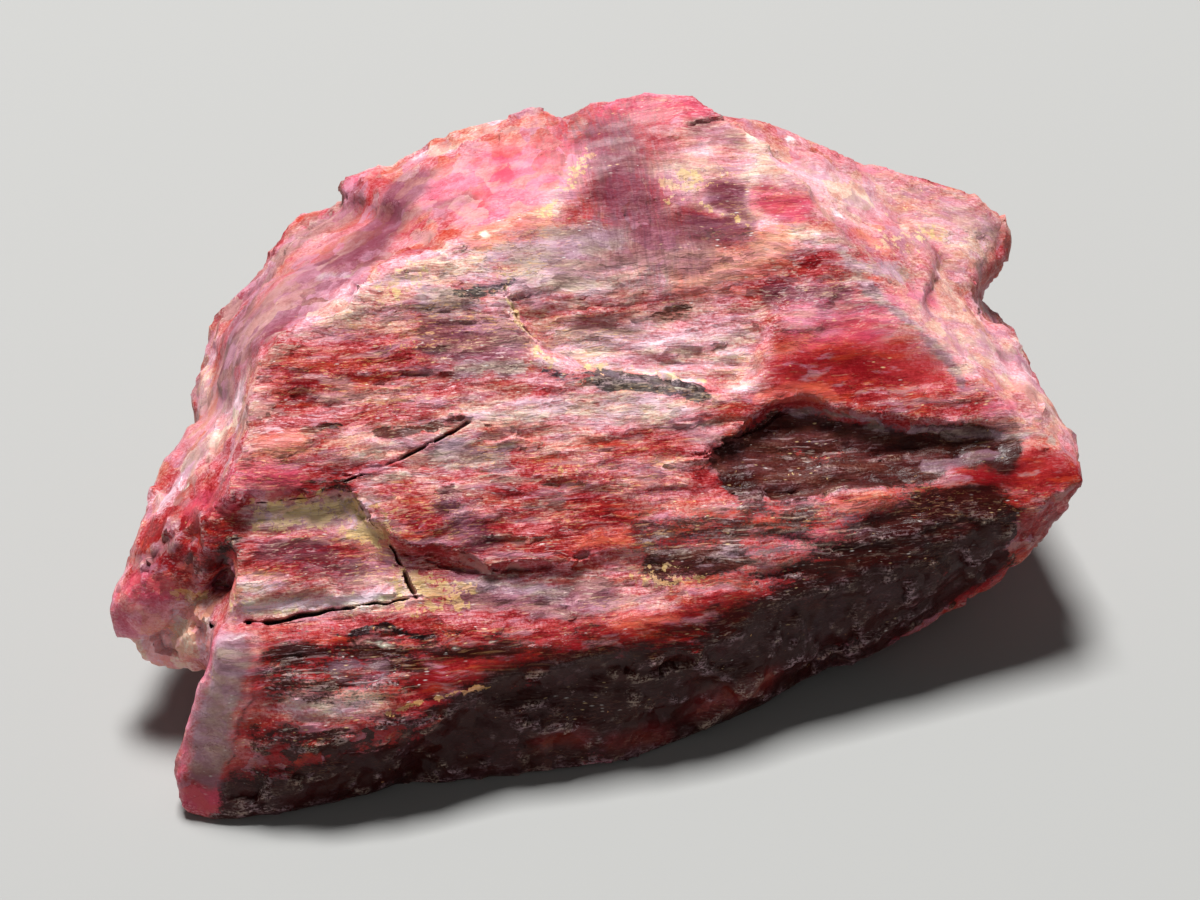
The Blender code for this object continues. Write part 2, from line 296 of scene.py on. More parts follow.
# %% Where the cracks run
# name: half-width where it starts and where it ends, depth, all in mm, then the path
CRACKS = {
    "lip of the central slab": (0.04, 0.10, 0.45,
        (346, 482), (361, 475), (378, 468), (395, 461), (420, 447), (442, 437), (467, 421)),
    "left side of the slab": (0.04, 0.05, 0.15, (350, 487), (361, 505), (375, 524), (390, 546)),
    "tip of that lip": (0.06, 0.03, 0.15, (467, 421), (500, 436), (522, 440)),
    "right side of the block": (0.04, 0.08, 0.50,
        (390, 546), (398, 562), (407, 574), (412, 586), (417, 597)),
    "under the block": (0.04, 0.10, 0.70,
        (417, 597), (370, 604), (325, 612), (282, 620), (250, 623), (212, 625)),
    "over the block": (0.05, 0.04, 0.30, (238, 505), (262, 503), (300, 499), (352, 492)),
    "under the central slab": (0.05, 0.10, 0.15,
        (425, 560), (442, 567), (470, 573), (520, 572), (586, 557)),
    "over the dark lens": (0.04, 0.08, 0.14, (700, 458), (735, 438), (765, 424), (790, 408)),
    "across the upper band": (0.05, 0.04, 0.08, (505, 288), (516, 318), (536, 344), (548, 362)),
}


def split_skin(reach):
    """Splits the squares whose corners all lie within reach of a crack, in mm."""
    points, _ = read_points(stone.data)
    near = np.zeros(len(points), dtype=bool)
    for _, _, _, *path in CRACKS.values():
        near |= along_path(points, path)[0] < reach
    only(stone)
    bpy.ops.object.mode_set(mode="EDIT")
    bpy.ops.mesh.select_mode(type="VERT")
    bpy.ops.mesh.select_all(action="DESELECT")
    bpy.ops.object.mode_set(mode="OBJECT")
    stone.data.vertices.foreach_set("select", near)
    bpy.ops.object.mode_set(mode="EDIT")
    bpy.ops.mesh.select_mode(type="FACE")
    bpy.ops.mesh.subdivide(number_cuts=1)
    bpy.ops.object.mode_set(mode="OBJECT")
    print("skin of", len(stone.data.polygons), "faces")


split_skin(0.42)
split_skin(0.22)

# %% [markdown]
# The colours of rhodonite come from a few causes, so they are kept apart as a few stains:
# deep red where the crystal is sound, pink and coral where it is bright, pale where it is
# crushed, white where it is chalky, mauve and grey where manganese has dulled the fibres,
# umber and black where it has turned to oxide, and ochre crusts of iron. Some pale and white
# strokes are painted highlights, or painted light on faces that lie in shade; some umber and
# deep strokes are painted shade under overhangs, in the hollow behind the left knob and on the
# underside. "clear" marks glassy places, "lined" long thin lines along the grain, and
# "striped" stripes across it. Each one is stored as a number on every point, and fades out
# over twice the stroke's half-width.

# %% Stains
# stain, then name: strength from 0 to 1, half-width in mm, and the path
STAINS = {
    "pale": {
        "left slope": (0.2, 1.2, (240, 350), (275, 320), (305, 300)),
        "left facet": (0.45, 1.4, (222, 405), (255, 330)),
        "left rim": (0.8, 0.7, (202, 398), (209, 350)),
        "low rim": (0.95, 0.8, (212, 448), (232, 412), (250, 385)),
        "left edge": (0.5, 0.6, (262, 275), (300, 240), (346, 208)),
        "light rim": (0.9, 0.25, (418, 156), (450, 149)),
        "coral facet": (0.35, 1.0, (440, 182), (478, 168), (530, 185), (566, 165)),
        "cream edge": (1.0, 0.45, (584, 152), (570, 186), (547, 214)),
        "cream crest": (0.8, 0.4, (395, 262), (440, 258), (492, 248)),
        "granules of the crest": (1.0, 0.75, (348, 298), (400, 285), (440, 272), (480, 262)),
        "tan patch": (1.1, 0.6, (672, 172), (704, 164), (690, 186)),
        "cream of the crown": (0.7, 0.3, (688, 161), (712, 160)),
        "pale vein of the crown": (1.4, 0.14, (704, 198), (722, 209), (742, 224)),
        "far right": (0.7, 1.9, (772, 165), (830, 190), (900, 205), (960, 225)),
        "haze by the red spot": (0.9, 0.6, (752, 160), (756, 225)),
        "cream triangle": (1.0, 0.5, (942, 276), (956, 298)),
        "crushed right side": (0.75, 1.7, (935, 325), (990, 340), (1038, 395)),
        "upper band": (1.0, 1.2, (525, 296), (600, 288), (690, 284)),
        # painted light: this stroke and 'upper coral' lighten a band that lies in shade under the crown
        "light of the upper band": (1.3, 0.5, (535, 292), (590, 286)),
        "low upper band": (0.9, 0.7, (560, 342), (640, 348), (740, 340)),
        "upper coral": (1.3, 0.6, (700, 276), (740, 264), (772, 250)),
        "haze of the upper band": (0.8, 0.4, (776, 240), (838, 238)),
        "tan vein": (1.1, 0.2,
            (490, 262), (502, 280), (514, 314), (534, 346), (552, 364), (620, 368), (700, 380)),
        "raspberry": (0.5, 0.6, (808, 318), (845, 310)),
        # painted highlight: a glint
        "light spot": (1.0, 0.3, (732, 389), (748, 385)),
        "upper face": (0.3, 0.3, (690, 346), (752, 344)),
        "pale edge of the left face": (0.85, 0.25, (346, 292), (284, 330), (265, 385), (259, 410)),
        "left face": (1.1, 0.6, (310, 318), (392, 308)),
        "light patch": (1.0, 0.24, (368, 325), (388, 323)),
        "light streaks": (0.85, 0.25, (318, 396), (424, 391)),
        "vein": (0.6, 0.12, (616, 377), (662, 384), (696, 391)),
        "crushed zone": (0.95, 0.62, (482, 412), (560, 410), (640, 412), (704, 422)),
        "crushed zone, right": (1.0, 0.7, (620, 414), (700, 418)),
        "crushed left of the slab": (0.5, 0.5, (345, 448), (400, 440)),
        # painted highlight along the slab's upper edge, where it catches the light
        "light edge of the slab": (1.0, 0.16, (364, 486), (400, 468), (446, 447), (474, 432)),
        "light side of the slab": (0.8, 0.16, (362, 492), (376, 514), (398, 542)),
        # painted light: the block's top lies in shade, and this lightens it
        "crust": (1.3, 0.7, (262, 512), (300, 506), (350, 508), (374, 526)),
        "pink of the block": (0.95, 0.4, (240, 582), (262, 585)),
        # the bevel is pale, and these two also paint light on it, since it faces down into shade
        "bevel of the block": (1.0, 0.42, (228, 607), (300, 606), (408, 596)),
        "bevel": (1.5, 0.34, (250, 608), (320, 605), (380, 599)),
        "end face": (0.4, 0.6, (232, 655), (220, 705), (210, 768)),
        # painted highlight along the prism's top edge
        "pale edge of the prism": (0.9, 0.24, (253, 638), (256, 656)),
        "bright edge of the prism": (0.8, 0.07, (259, 640), (244, 698), (222, 772)),
        # painted highlights on the rows
        "light rows": (0.9, 0.1, (358, 642), (450, 646), (544, 640)),
        "low prism": (1.3, 0.45, (300, 700), (335, 705), (375, 694)),
        "light band": (0.95, 0.22, (598, 607), (664, 602)),
        # painted glints on the dark lens
        "lens": (0.5, 0.25, (832, 491), (880, 487)),
        # painted highlight on the gloss of the left knob
        "light gloss": (1.3, 0.6, (165, 500), (180, 476), (196, 462)),
        # painted light: the lower lobe lies in shade, and this lightens it
        "lower lobe": (1.2, 1.0, (142, 650), (170, 648), (202, 628)),
    },
    "deep": {
        "mauve facet": (0.5, 0.8, (355, 255), (385, 225)),
        "wedge in the coral facet": (0.5, 0.35, (484, 160), (506, 155), (500, 178)),
        "crown": (0.45, 0.8, (610, 126), (640, 140)),
        "pink crown": (0.5, 0.7, (620, 112), (660, 110), (700, 116)),
        "crown patch": (0.8, 0.5, (712, 192), (738, 200), (736, 222)),
        "maroon": (1.0, 0.6, (694, 226), (740, 232)),
        "plum": (0.4, 0.8, (620, 240), (690, 235)),
        "depth of the crown": (0.45, 1.3, (600, 150), (610, 195)),
        "red spot": (1.0, 0.6, (768, 203), (796, 206)),
        "dark red lobe": (1.0, 0.6, (988, 278), (1006, 256)),
        "first red splinter": (1.0, 0.32, (732, 290), (782, 287)),
        "second red splinter": (0.9, 0.26, (750, 271), (810, 268)),
        "third red splinter": (1.0, 0.35, (588, 312), (624, 306)),
        "fourth red splinter": (0.9, 0.3, (638, 302), (702, 298)),
        "fifth red splinter": (1.0, 0.3, (524, 306), (564, 304)),
        "splinters": (0.5, 0.4, (775, 293), (842, 297)),
        "red triangle": (1.0, 1.0, (796, 372), (850, 354), (912, 362)),
        "red triangle, low": (0.95, 0.5, (828, 392), (922, 402)),
        "brown red": (0.8, 0.6, (935, 380), (970, 402)),
        "red wedge": (0.9, 0.38, (700, 413), (764, 408)),
        "left face": (0.8, 1.4, (288, 362), (330, 368), (392, 348)),
        "maroon streak": (1.0, 0.3, (488, 392), (538, 390)),
        "raspberry under the crushed zone": (0.85, 0.4, (612, 444), (672, 442)),
        "glow": (0.45, 0.55, (240, 482), (290, 480)),
        "red undercut": (1.3, 0.5, (285, 493), (350, 487)),
        "reds of the slab": (0.9, 0.7, (384, 515), (432, 545)),
        "right reds of the slab": (0.85, 0.6, (505, 492), (602, 500)),
        "low reds of the slab": (1.0, 0.6, (490, 548), (550, 545), (620, 530)),
        "block": (1.0, 0.5, (248, 552), (300, 552), (348, 546)),
        "prism": (0.9, 1.3, (280, 660), (330, 665), (402, 655)),
        "foot": (1.1, 0.8, (186, 802), (242, 796)),
        "maroon band": (1.2, 0.9, (430, 676), (520, 660), (600, 650), (680, 630), (740, 610)),
        "red end": (1.0, 0.9, (678, 628), (742, 605)),
        "lens": (0.95, 0.36, (702, 484), (742, 480)),
        "raspberry band": (1.2, 0.7, (962, 478), (1020, 471), (1078, 474)),
        # painted shade, with the stone's own dark: these two darken the underside
        "deep low underside": (0.9, 1.4, (640, 745), (720, 715), (820, 665), (930, 605), (1005, 570)),
        "underside": (1.0, 2.2,
            (290, 780), (430, 750), (560, 722), (700, 690), (800, 640), (900, 580), (1000, 540)),
        "brown facet": (0.7, 0.7, (930, 520), (1006, 510)),
        "red rim": (1.0, 0.5, (1014, 572), (1038, 545), (1056, 515), (1080, 486)),
        "knobs": (0.85, 0.9, (222, 505), (190, 515), (150, 560)),
        "rose of the lobe": (1.1, 0.9, (150, 566), (172, 540)),
        # partly painted shade in the hollow behind the left knob
        "hollow": (1.2, 0.9, (180, 565), (200, 552), (226, 538)),
    },
    "clear": {
        "glassy left facet": (0.9, 2.0, (215, 400), (255, 315), (330, 250), (400, 210)),
        "coral facet": (0.8, 1.3, (460, 190), (500, 172), (560, 165)),
        "crown": (0.6, 2.2, (600, 130), (640, 190), (700, 180)),
        "grain of the plum": (0.45, 1.2, (540, 245), (620, 240), (700, 235)),
        "far right": (0.6, 2.2, (772, 165), (840, 200), (960, 225)),
        "crushed right side": (0.6, 1.9, (935, 325), (990, 350), (1038, 395)),
        "red triangle": (1.0, 1.1, (800, 372), (850, 350), (915, 365)),
        "grey end face": (1.0, 0.9, (236, 650), (222, 705), (210, 775)),
        "maroon band": (0.9, 0.6, (430, 676), (520, 660), (600, 650), (680, 630), (740, 610)),
        "raspberry band": (1.0, 0.7, (962, 476), (1020, 469), (1078, 472)),
    },
    "pink": {
        "rosy edge": (0.5, 0.4, (226, 312), (246, 284)),
        "pink rim": (0.8, 0.4, (345, 192), (372, 172), (402, 156)),
        "coral facet": (1.0, 1.15, (458, 186), (500, 170), (556, 166)),
        "coral facet, low": (0.9, 0.8, (482, 212), (522, 198)),
        "crown": (0.75, 0.8, (612, 110), (660, 104), (696, 112)),
        "far pink": (0.8, 0.45, (780, 137), (826, 146)),
        "farther pink": (0.7, 0.35, (856, 167), (890, 171)),
        "red spot": (1.0, 0.55, (768, 203), (796, 206)),
        "bright pink": (0.85, 0.4, (892, 300), (930, 298)),
        "right side": (0.8, 0.35, (988, 412), (1012, 408)),
        "raspberry patch": (1.0, 0.75, (804, 322), (840, 313), (870, 322)),
        "glow over the block": (0.95, 0.5, (240, 480), (288, 476)),
        "pink edge of the prism": (0.85, 0.26, (214, 640), (192, 710), (176, 780)),
        "foot of the prism": (0.7, 0.6, (186, 802), (242, 796)),
        "pink streak": (0.8, 0.26, (790, 541), (852, 534)),
        "red knob": (0.6, 0.6, (190, 508), (224, 500)),
        "raspberry knob": (1.0, 0.8, (122, 620), (150, 596)),
    },
    "coral": {
        "orange of the coral facet": (1.0, 0.4, (474, 235), (510, 230), (540, 216)),
        "brown coral": (0.6, 0.4, (862, 234), (886, 250)),
        "upper band": (0.9, 0.7, (695, 274), (740, 262), (772, 248)),
        "orange red": (0.75, 0.32, (762, 396), (830, 394)),
        "face": (0.5, 0.5, (775, 345), (802, 336)),
        "salmon over the glow": (0.6, 0.42, (258, 444), (300, 436)),
        "bright red": (0.55, 0.45, (562, 545), (622, 540)),
        "block": (0.6, 0.3, (362, 542), (392, 546)),
        "salmon by the light band": (0.6, 0.34, (620, 624), (672, 618)),
        "coral corner": (0.8, 0.34, (844, 503), (892, 499)),
        "salmon tip": (0.7, 0.35, (1074, 480), (1085, 478)),
        "right brown of the underside": (0.42, 0.5, (700, 706), (765, 680)),
        "low brown of the underside": (0.4, 0.4, (618, 742), (662, 736)),
        "left brown of the underside": (0.38, 0.35, (545, 742), (582, 736)),
        "hollow": (0.4, 0.5, (185, 572), (200, 565)),
        "salmon strip": (0.6, 0.4, (234, 586), (190, 616)),
        "lower lobe": (0.55, 0.9, (142, 648), (170, 645), (202, 626)),
    },
    "mauve": {
        "left slope": (0.85, 1.4, (232, 350), (268, 325), (305, 295), (340, 262)),
        "mauve facet": (1.0, 1.0, (350, 265), (382, 228), (405, 190)),
        "mauve foot of the facet": (0.95, 0.9, (270, 305), (300, 295), (338, 282)),
        "left edge": (0.7, 0.9, (225, 388), (240, 320), (262, 285)),
        "dark mauve spot": (1.0, 0.35, (306, 268), (324, 262)),
        "dull left edge": (0.7, 1.0, (240, 300), (275, 262), (320, 225), (350, 205)),
        "grey of the upper facet": (0.6, 0.5, (414, 212), (466, 200)),
        "mauve crown": (0.7, 1.3, (606, 140), (622, 190), (640, 225)),
        "dust of the crown": (0.45, 2.4, (606, 140), (640, 200), (690, 225)),
        "dull part of the crown": (0.6, 0.5, (702, 130), (736, 140)),
        "mauve patch of the crown": (0.9, 0.42, (712, 192), (738, 200), (736, 222)),
        "maroon of the crown": (1.0, 0.45, (694, 226), (740, 232)),
        "plum under the crown": (0.9, 0.8, (560, 258), (640, 242), (690, 245)),
        "mauve lobe": (0.5, 0.4, (838, 220), (850, 250)),
        "mauve far corner": (0.55, 0.7, (950, 212), (990, 228)),
        "mauve spot": (0.7, 0.4, (984, 316), (1006, 314)),
        "lower mauve spot": (0.7, 0.4, (998, 354), (1024, 360)),
        "mauve splinters": (0.8, 0.4, (775, 293), (842, 297)),
        "upper band": (0.5, 0.4, (580, 322), (640, 330)),
        "left face": (0.9, 0.8, (440, 336), (502, 350)),
        "low mauve of the slab": (0.8, 0.5, (450, 506), (480, 540)),
        "block": (0.4, 0.5, (252, 520), (300, 515), (352, 508)),
        "crust": (0.4, 0.5, (280, 528), (322, 524), (370, 532)),
        "dull middle of the block": (0.6, 0.3, (262, 552), (330, 550)),
        "low mauve of the block": (0.6, 0.34, (300, 568), (386, 564)),
        "slab": (0.85, 0.5, (460, 594), (530, 600), (602, 598)),
        "gloss": (0.6, 0.7, (168, 498), (182, 474), (200, 455)),
    },
    "grey": {
        "grey spot": (0.6, 0.25, (322, 280), (344, 277)),
        "grey granules": (0.65, 0.7, (505, 252), (560, 243), (615, 240)),
        "crest": (0.55, 0.5, (850, 272), (905, 276)),
        "grey vein of the crest": (0.85, 0.22, (845, 256), (870, 292), (900, 315), (930, 345), (962, 378)),
        "left face": (0.65, 0.5, (430, 300), (466, 304)),
        "grey streaks": (0.75, 0.26, (456, 370), (524, 368)),
        "slab": (0.8, 0.45, (440, 452), (502, 455)),
        "grey under the slab": (0.7, 0.25, (466, 586), (562, 590)),
        "grey end face": (0.95, 0.5, (232, 650), (220, 705), (206, 775)),
        "prism": (0.6, 0.35, (334, 668), (380, 668)),
        "grey sheet": (0.34, 0.8, (652, 548), (740, 536), (850, 520)),
        "grey rim of the lens": (0.8, 0.16, (790, 408), (860, 422), (940, 433), (1052, 438)),
        "streak of the lens": (0.9, 0.2, (925, 466), (992, 456)),
    },
    "umber": {
        "maroon": (0.4, 0.5, (694, 233), (744, 238)),
        "first dark fibre": (0.55, 0.12, (648, 200), (651, 256)),
        "second dark fibre": (0.5, 0.1, (627, 205), (628, 254)),
        "third dark fibre": (0.5, 0.1, (638, 205), (640, 252)),
        "dark splinter": (0.55, 0.2, (645, 318), (690, 314)),
        # painted shadow: these three darken the gaps under overhanging slabs
        "first dark undercut": (0.6, 0.26, (305, 430), (340, 426)),
        "second dark undercut": (0.8, 0.2, (380, 431), (420, 425), (458, 416)),
        "undercut": (0.5, 0.26, (292, 490), (346, 486)),
        "dark edge of the prism": (0.45, 0.16, (263, 650), (247, 700), (228, 768)),
        "low front of the prism": (0.5, 0.8, (265, 740), (330, 745), (400, 725)),
        "prism": (0.5, 1.3, (285, 670), (330, 668), (400, 665)),
        "rows": (0.55, 0.5, (420, 644), (480, 650), (545, 648)),
        "low dark of the grey sheet": (0.85, 0.5, (655, 565), (730, 556)),
        "grey sheet": (0.55, 0.9, (652, 540), (740, 530), (800, 522)),
        "dark lens": (1.0, 0.62, (728, 462), (780, 432), (850, 441), (940, 448), (1000, 451)),
        "depth of the lens": (1.2, 0.5, (765, 474), (800, 476)),
        "dark lens, low": (1.0, 0.7, (746, 484), (830, 474), (922, 462)),
        # painted shade, with dark oxide: these four darken the underside
        "dark underside": (1.0, 2.3, (470, 745), (560, 722), (700, 690), (800, 640), (880, 590)),
        "dark underside, left": (1.0, 1.1, (255, 806), (330, 788), (400, 768), (470, 745)),
        "dark underside, right": (1.0, 1.3, (880, 560), (940, 540), (980, 524)),
        "low underside": (0.9, 1.2, (640, 745), (720, 715), (820, 665), (930, 605), (975, 575)),
        "rim": (0.5, 0.4, (1014, 572), (1038, 545), (1050, 520)),
        # painted shade in the hollow behind the left knob
        "hollow of the lobe": (0.6, 0.35, (194, 560), (206, 570), (216, 562), (229, 548)),
    },
    "black": {
        "dark patch": (0.5, 0.34, (464, 290), (506, 287)),
        "black vein": (1.0, 0.32, (606, 375), (650, 384), (694, 390)),
        "black vein, left": (0.6, 0.12, (545, 375), (600, 375)),
        "black streak of the prism": (0.75, 0.16, (350, 634), (385, 628), (420, 637)),
    },
    "ochre": {
        "cream edge of the coral facet": (0.72, 0.28, (584, 152), (570, 186), (547, 214)),
        "rust on the crest": (0.7, 0.5, (385, 285), (412, 277)),
        "peach crest": (0.5, 0.35, (498, 271), (526, 262)),
        "tan patch": (0.88, 0.45, (668, 190), (692, 180)),
        "yellow patch": (0.45, 0.28, (704, 182), (724, 178)),
        "crown vein": (0.7, 0.14, (704, 198), (722, 209), (742, 224)),
        "tan of the far right": (0.6, 0.6, (884, 246), (930, 236)),
        "olive arc": (0.5, 0.25, (882, 212), (925, 209)),
        "tan vein": (0.85, 0.16,
            (490, 262), (502, 280), (514, 314), (534, 346), (552, 364), (620, 368), (700, 380)),
        "left face": (0.55, 0.28, (386, 350), (414, 340)),
        "peach streak": (0.55, 0.28, (545, 367), (602, 369)),
        "slab": (0.6, 0.22, (556, 471), (578, 473)),
        "crust of the block": (0.95, 0.6, (268, 516), (315, 511), (350, 512), (378, 530)),
        "bevel, dusty": (0.6, 0.35, (228, 607), (300, 606), (408, 596)),
        "ochre band": (0.85, 0.45, (404, 574), (430, 590), (460, 600)),
        "low ochre band": (0.7, 0.3, (378, 611), (442, 607)),
        "tan line": (0.8, 0.16, (348, 716), (422, 703)),
        "tan edge": (1.2, 0.11, (400, 706), (450, 694), (492, 686)),
        "golden brown": (0.65, 0.3, (640, 581), (692, 578)),
        "gold in the lens": (0.7, 0.1, (748, 476), (832, 470)),
        "lobe": (0.95, 0.3, (178, 593), (206, 590)),
    },
    "white": {
        # painted highlights: the sparks are painted glints, white dots where light glints off the stone
        "first spark": (0.9, 0.16, (479, 233), (483, 232)),
        "second spark": (0.9, 0.16, (754, 141), (759, 140)),
        "third spark": (0.8, 0.18, (792, 144), (797, 144)),
        "fourth spark": (0.8, 0.14, (836, 213), (842, 217)),
        "fifth spark": (0.8, 0.1, (664, 252), (678, 251)),
        "sixth spark": (0.8, 0.12, (732, 386), (744, 384)),
        "seventh spark": (0.8, 0.09, (180, 470), (184, 488)),
        "sparks of the vein": (0.75, 0.05, (618, 381), (650, 386), (690, 393)),
        "sparks of the rows": (0.75, 0.06, (360, 643), (420, 648), (500, 641)),
        "sparks of the foot": (0.7, 0.07, (262, 737), (290, 730), (330, 722)),
        # painted light: these three lighten the block's top, the bevel and the lower lobe, which lie in
        # shade
        "crust": (0.3, 0.5, (275, 518), (350, 512)),
        "bevel": (0.6, 0.3, (250, 608), (320, 605), (380, 599)),
        "lower lobe": (0.45, 0.7, (150, 650), (185, 640)),
    },
    "striped": {
        "crown": (1.0, 1.6, (590, 130), (625, 190), (650, 235)),
    },
    "lined": {
        "red triangle": (0.6, 1.0, (800, 380), (930, 385)),
        "prism": (1.0, 1.6, (285, 670), (400, 665), (520, 650)),
        "grey sheet": (1.0, 1.3, (652, 552), (740, 536), (850, 515)),
        "lens": (0.8, 1.2, (740, 470), (800, 440), (1000, 450)),
    },
}
SOLID = 1.25  # a stroke is solid near its path
FADE = 1.6  # and it ends at SOLID * FADE half-widths

points, normals = read_points(stone.data)
grain = grain_axes(points)
wander = 0.22 * soft_noise(grain / (1.8, 0.6, 0.6), 21) + 0.11 * soft_noise(points / 0.4, 22)
warped = points + wander
levels = {}
for pigment, strokes in STAINS.items():
    levels[pigment] = np.zeros(len(points))
    for strength, half_width, *path in strokes.values():
        level = np.clip(SOLID - along_path(warped, path)[0] / (FADE * half_width), 0.0, 1.0)
        levels[pigment] = np.maximum(levels[pigment], strength * level)
print(sum(len(strokes) for strokes in STAINS.values()), "strokes of", len(STAINS), "stains")

# %% [markdown]
# The strokes only reach what the camera sees. The back, the ends and the base get the same
# stains in loose patches, so the stone is as finished there as in front.

# %% The other sides
# name: patch size in mm, how rare the patches are, and their strength
PATCHES = {
    "pale": (3.8, -0.25, 0.8), "deep": (3.4, -0.20, 0.9), "clear": (4.0, 0.00, 0.8),
    "pink": (3.0, 0.15, 0.7), "coral": (2.6, 0.20, 0.6), "mauve": (3.6, -0.05, 0.8),
    "grey": (2.6, 0.10, 0.7), "umber": (3.4, 0.25, 0.6), "black": (1.8, 0.55, 0.5),
    "white": (1.2, 0.75, 0.6), "ochre": (2.6, 0.20, 0.6), "striped": (3.0, 0.20, 0.6),
    "lined": (3.6, 0.00, 0.8),
}
to_lens = np.array(camera_place) / MM - points
to_lens /= np.linalg.norm(to_lens, axis=1)[:, None]
hidden = 1.0 - ramp(-0.05, 0.25, np.sum(normals * to_lens, axis=1))
stretched = grain_axes(warped) / (1.6, 0.8, 0.8)
for number, (pigment, (size, rare, strength)) in enumerate(PATCHES.items()):
    field = soft_noise(stretched / size, 31 + number)[:, 0]
    field += 0.5 * soft_noise(stretched / (0.35 * size), 51 + number)[:, 0]
    levels[pigment] = np.maximum(levels[pigment], strength * hidden * ramp(rare, rare + 0.9, field))
for pigment, level in levels.items():
    print(pigment, "covers", round(100.0 * float(level.mean())), "%")

# %% [markdown]
# Now the relief. The broad face is fibrous: short ledges and blades that each lean their own
# way, more in some places than in others, on fibres that wave a little. The ends and the back
# broke across the grain, and there the blocks are even and bigger. Glassy places stay smooth.
# The base stays flat, because the stone rests on it.

# %% Relief
LEDGE = (2.6, 0.95, 4.0)  # sizes in mm along the grain, up the face and out of it
BLADE = (1.25, 0.36, 2.5)
THREAD = (0.8, 0.17, 0.6)
CHUNK = 1.8  # sizes in mm each way
CRUMB = 0.7
SUGAR = 0.35

broad = ramp(0.70, 0.92, normals @ OUT)
across_grain = np.abs(normals @ ALONG)
broad = np.maximum(broad, hidden * (1.0 - ramp(0.35, 0.65, across_grain)))
wave = soft_noise(grain / (3.5, 2.0, 2.0), 2) * (0.0, 0.45, 0.45)
fibres = grain + wave
ledge, in_ledge, _ = cells(fibres / LEDGE, 3)
blade, in_blade, _ = cells(fibres / BLADE, 4)
thread = soft_noise(fibres / THREAD, 5)[:, 0]
rough_places = 0.35 + 0.65 * ramp(-0.35, 0.35, soft_noise(grain / (3.0, 1.6, 3.0), 6)[:, 0])
fibrous = 0.045 * (2.0 * ledge[:, 0] - 1.0) + 0.09 * (2.0 * ledge[:, 1] - 1.0) * in_ledge[:, 1]
blades = 0.045 * (2.0 * blade[:, 0] - 1.0) + 0.08 * (2.0 * blade[:, 1] - 1.0) * in_blade[:, 1]
fibrous += rough_places * blades + 0.026 * thread

chunk, in_chunk, _ = cells(points / CHUNK, 11)
crumb, in_crumb, _ = cells(points / CRUMB, 12)
lean = np.sum((2.0 * chunk - 1.0) * in_chunk, axis=1)
tilt = np.sum((2.0 * crumb - 1.0) * in_crumb, axis=1)
sugar = soft_noise(points / SUGAR, 13)[:, 1]
broken = 0.20 * lean + 0.08 * tilt + 0.025 * sugar

settled = ramp(0.05, 0.6, points[:, 2])
lift = (broad * fibrous + (1.0 - broad) * broken) * settled * (1.0 - 0.7 * levels["clear"])
points = points + normals * lift[:, None]
points[:, 2] = np.maximum(points[:, 2], 0.0)
write_points(stone.data, points)
print("relief from", round(float(lift.min()), 3), "to", round(float(lift.max()), 3), "mm")

# %% [markdown]
# The cracks are cut last. Thin wedges taken out with a Boolean would leave slivers, so the
# points near each path are pushed into the broad face instead, deepest in the middle. Noise
# makes a crack wider here and narrower there, as in real stone.

# %% Cracks
points, normals = read_points(stone.data)
unevenness = soft_noise(points / 0.9, 23)[:, 0]
groove = np.zeros(len(points))
cracked = np.zeros(len(points))
for start, end, depth, *path in CRACKS.values():
    away, run = along_path(points + 0.5 * wander, path)
    half_width = (start + (end - start) * run) * (1.05 + 0.4 * unevenness)
    groove = np.maximum(groove, depth * (1.0 - ramp(0.3, 1.5, away / half_width)))
    cracked = np.maximum(cracked, min(1.0, 1.6 * depth) * (1.0 - ramp(0.6, 1.5, away / half_width)))
points = points - OUT * groove[:, None]
write_points(stone.data, points)
levels["crack"] = cracked
print("cracks", len(CRACKS), "deepest", round(float(groove.max()), 2), "mm")

# %% [markdown]
# Worn stone is paler on its edges, and its hollows are darkened as painted shade. Both come
# from the shape: a point that stands out from its neighbours is on an edge, and one that lies
# below them is in a hollow. A few rounds of averaging widen the bands.

# %% Edges and hollows
def neighbours_mean(mesh, values):
    """The mean of a value over each point's neighbours."""
    ends = np.empty(len(mesh.edges) * 2, dtype=np.int64)
    mesh.edges.foreach_get("vertices", ends)
    first, second = ends.reshape(-1, 2).T
    size = len(values)
    count = np.bincount(first, minlength=size) + np.bincount(second, minlength=size)
    total = np.bincount(first, values[second], size) + np.bincount(second, values[first], size)
    return total / np.maximum(count, 1)


mean_place = points.copy()
for _ in range(4):
    for axis in range(3):
        mean_place[:, axis] = neighbours_mean(stone.data, mean_place[:, axis])
stands_out = np.sum((points - mean_place) * normals, axis=1)
levels["edge"] = ramp(0.015, 0.08, stands_out)
levels["hollow"] = ramp(0.015, 0.08, -stands_out)
levels["broad"] = broad
for name, level in levels.items():
    layer = stone.data.attributes.new(name, "FLOAT", "POINT")
    layer.data.foreach_set("value", level.astype(np.float32))

# %% [markdown]
# Facets of a crystal meet at crisp edges, while the crumbs between them are rounded. So the
# shading is smooth except over edges that turn by more than 38 degrees. The finished stone
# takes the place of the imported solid, on the part's one body.

# %% Finish the piece
CRISP = math.radians(38.0)

only(stone)
bpy.ops.object.shade_smooth_by_angle(angle=CRISP)
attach(stone, "root")
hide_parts("rhodonite_crystal")
print("stone of", len(stone.data.vertices), "points with", len(levels), "numbers each")

# %% [markdown]
# A material is a sum, so it is written as one. Wire wraps a socket and turns + - * into Math
# nodes; Graph makes every other node.

